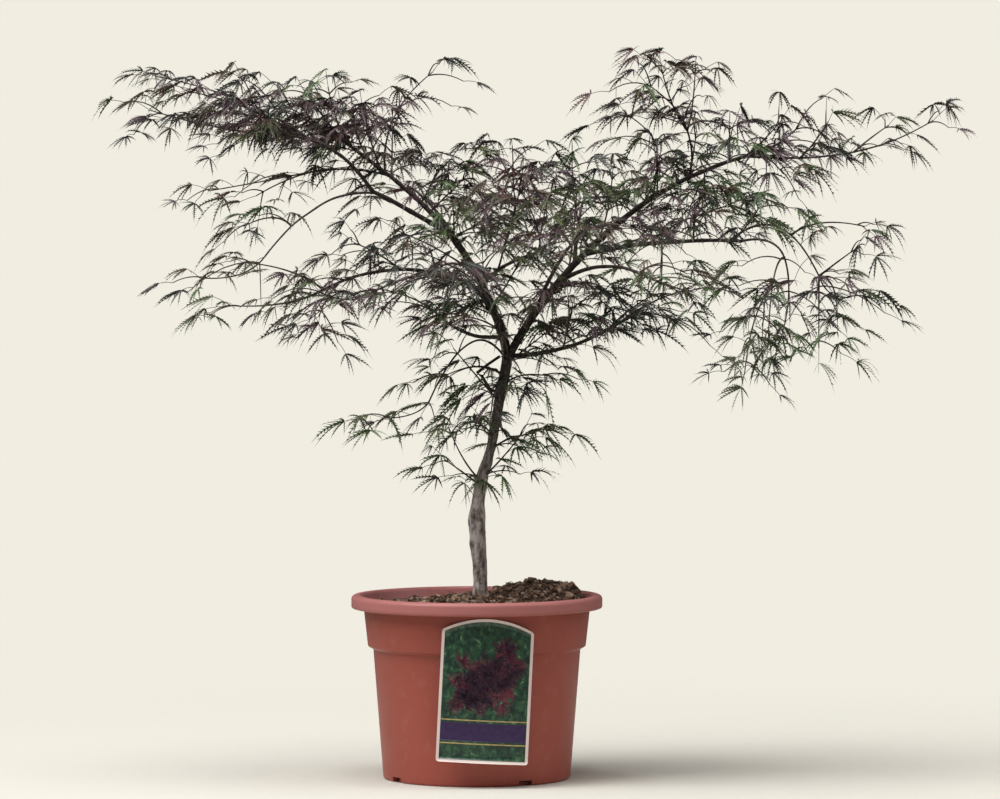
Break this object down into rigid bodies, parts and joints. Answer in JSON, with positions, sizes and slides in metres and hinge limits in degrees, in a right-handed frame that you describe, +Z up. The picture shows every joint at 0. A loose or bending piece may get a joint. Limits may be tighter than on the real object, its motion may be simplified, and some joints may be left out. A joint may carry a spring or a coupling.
{
  "type": "potted japanese maple",
  "caption": "Young laceleaf japanese maple with a leaning trunk, arching boughs and finely cut leaves, in a round nursery pot with a hanging card label.",
  "frame": {"origin": "centre of the pot's flat underside, on the surface that it stands on", "axes": "+Z up; +X to the right of the front, along the crown's widest spread; -Y towards the front, where the label hangs"},
  "size_m": [0.9848, 0.674, 0.8191],
  "materials": {
    "pot": "satin terracotta-coloured plastic",
    "soil": "loose chipped bark compost",
    "label": "printed glossy card",
    "trunk": "grey-brown bark",
    "boughs": "smooth dark young bark",
    "foliage": "soft thin purple-green leaves"
  },
  "bodies": {
    "root": {"back_left_bough": "boughs", "back_left_foliage": "foliage", "back_right_bough": "boughs", "back_right_foliage": "foliage", "centre_bough": "boughs", "centre_foliage": "foliage", "centre_upright_bough": "boughs", "centre_upright_foliage": "foliage", "front_left_bough": "boughs", "front_left_foliage": "foliage", "front_right_bough": "boughs", "front_right_foliage": "foliage", "left_arching_bough": "boughs", "left_arching_foliage": "foliage", "left_bough": "boughs", "left_far_bough": "boughs", "left_far_foliage": "foliage", "left_hanging_bough": "boughs", "left_hanging_foliage": "foliage", "left_inner_bough": "boughs", "left_inner_foliage": "foliage", "left_long_bough": "boughs", "left_low_bough": "boughs", "left_low_foliage": "foliage", "left_low_inner_bough": "boughs", "left_low_inner_foliage": "foliage", "left_middle_bough": "boughs", "left_middle_foliage": "foliage", "left_upper_bough": "boughs", "left_upper_foliage": "foliage", "left_upright_bough": "boughs", "left_upright_foliage": "foliage", "plant_label": "label", "pot": "pot", "right_bough": "boughs", "right_drooping_bough": "boughs", "right_drooping_foliage": "foliage", "right_hanging_bough": "boughs", "right_hanging_foliage": "foliage", "right_inner_bough": "boughs", "right_inner_foliage": "foliage", "right_level_bough": "boughs", "right_long_bough": "boughs", "right_low_bough": "boughs", "right_low_foliage": "foliage", "right_mid_bough": "boughs", "right_mid_foliage": "foliage", "right_middle_bough": "boughs", "right_middle_foliage": "foliage", "right_tip_foliage": "foliage", "right_upper_bough": "boughs", "right_upper_foliage": "foliage", "right_upright_bough": "boughs", "right_upright_foliage": "foliage", "soil": "soil", "trunk": "trunk", "trunk_left_foliage": "foliage", "trunk_left_sprig": "foliage", "trunk_right_foliage": "foliage", "trunk_right_sprig": "foliage"}
  },
  "joints": []
}
